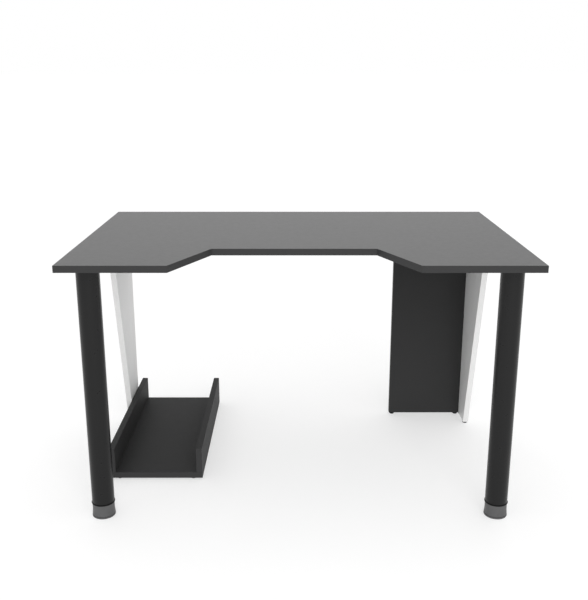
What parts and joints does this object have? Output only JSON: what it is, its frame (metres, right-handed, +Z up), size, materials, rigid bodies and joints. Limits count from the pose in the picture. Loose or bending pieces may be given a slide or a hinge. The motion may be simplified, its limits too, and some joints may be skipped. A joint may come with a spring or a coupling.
{
  "type": "computer desk",
  "caption": "Desk with a waist cut-out in its worktop, round steel front legs on levelling feet, rear side panels and a low stand for a system unit.",
  "frame": {"origin": "on the floor, under the middle of the overall box, which includes the system-unit stand", "axes": "+Z up, the user sits on the -Y side, +X to the user's right"},
  "size_m": [1.2, 0.862, 0.72],
  "materials": {
    "worktop_laminate": "grey melamine, fine grain, satin",
    "dark_edge_band": "dark grey ABS edge band, satin",
    "dark_board": "dark grey melamine, satin",
    "white_board": "white melamine, satin",
    "white_band": "white ABS edge band, satin",
    "leg_paint": "black-grey powder coat, fine texture",
    "black_plastic": "black moulded plastic",
    "grey_plastic": "mid grey moulded plastic, satin",
    "zinc": "bright zinc plating"
  },
  "bodies": {
    "desk": {"desktop_panel": "worktop_laminate", "desktop_front_band": "dark_edge_band", "desktop_back_band": "dark_edge_band", "desktop_left_band": "dark_edge_band", "desktop_right_band": "dark_edge_band", "left_leg_tube": "leg_paint", "left_leg_plate": "zinc", "left_leg_screws": "zinc", "left_leg_grub_screw": "black_plastic", "left_leg_collar": "black_plastic", "left_leg_nut": "zinc", "right_leg_tube": "leg_paint", "right_leg_plate": "zinc", "right_leg_screws": "zinc", "right_leg_grub_screw": "black_plastic", "right_leg_collar": "black_plastic", "right_leg_nut": "zinc", "right_side_panel": "white_board", "right_side_front_band": "white_band", "right_side_screws": "zinc", "right_side_caps": "white_band", "right_side_glides": "black_plastic", "right_back_panel": "dark_board", "right_back_inner_band": "dark_edge_band", "right_back_screws": "zinc", "right_back_glides": "black_plastic", "left_side_panel": "white_board", "left_side_front_band": "white_band", "left_side_screws": "zinc", "left_side_caps": "white_band", "left_side_glides": "black_plastic", "back_rail": "dark_board", "rail_brackets": "zinc", "rail_bracket_screws": "zinc", "right_side_brackets": "zinc", "right_bracket_screws": "zinc", "left_side_brackets": "zinc", "left_bracket_screws": "zinc"},
    "left_pad": {"left_foot_pad": "grey_plastic"},
    "left_foot": {"left_foot_cup": "grey_plastic", "left_foot_stud": "zinc"},
    "right_pad": {"right_foot_pad": "grey_plastic"},
    "right_foot": {"right_foot_cup": "grey_plastic", "right_foot_stud": "zinc"},
    "stand": {"stand_base": "dark_board", "stand_left_rail": "dark_board", "stand_right_rail": "dark_board", "stand_base_band": "dark_edge_band", "stand_left_band": "dark_edge_band", "stand_right_band": "dark_edge_band", "stand_left_screws": "zinc", "stand_right_screws": "zinc", "stand_left_glides": "black_plastic", "stand_right_glides": "black_plastic"}
  },
  "joints": [
    {"name": "left_foot_extend", "type": "slide", "parent": "desk", "child": "left_pad", "axis": [0, 0, -1], "range_m": [0, 0.02]},
    {"name": "left_foot_turn", "type": "hinge", "parent": "left_pad", "child": "left_foot", "pos_m": [-0.537, -0.347, 0.02], "axis": [0, 0, -1], "range_deg": [0, 4800]},
    {"name": "right_foot_extend", "type": "slide", "parent": "desk", "child": "right_pad", "axis": [0, 0, -1], "range_m": [0, 0.02]},
    {"name": "right_foot_turn", "type": "hinge", "parent": "right_pad", "child": "right_foot", "pos_m": [0.537, -0.347, 0.02], "axis": [0, 0, -1], "range_deg": [0, 4800]},
    {"name": "stand_slide", "type": "slide", "parent": "desk", "child": "stand", "axis": [0, -1, 0], "range_m": [-0.05, 0.15]}
  ],
  "couplings": [
    {"joint": "left_foot_extend", "follows": "left_foot_turn", "m_per_rad": 0.00023873},
    {"joint": "right_foot_extend", "follows": "right_foot_turn", "m_per_rad": 0.00023873}
  ]
}
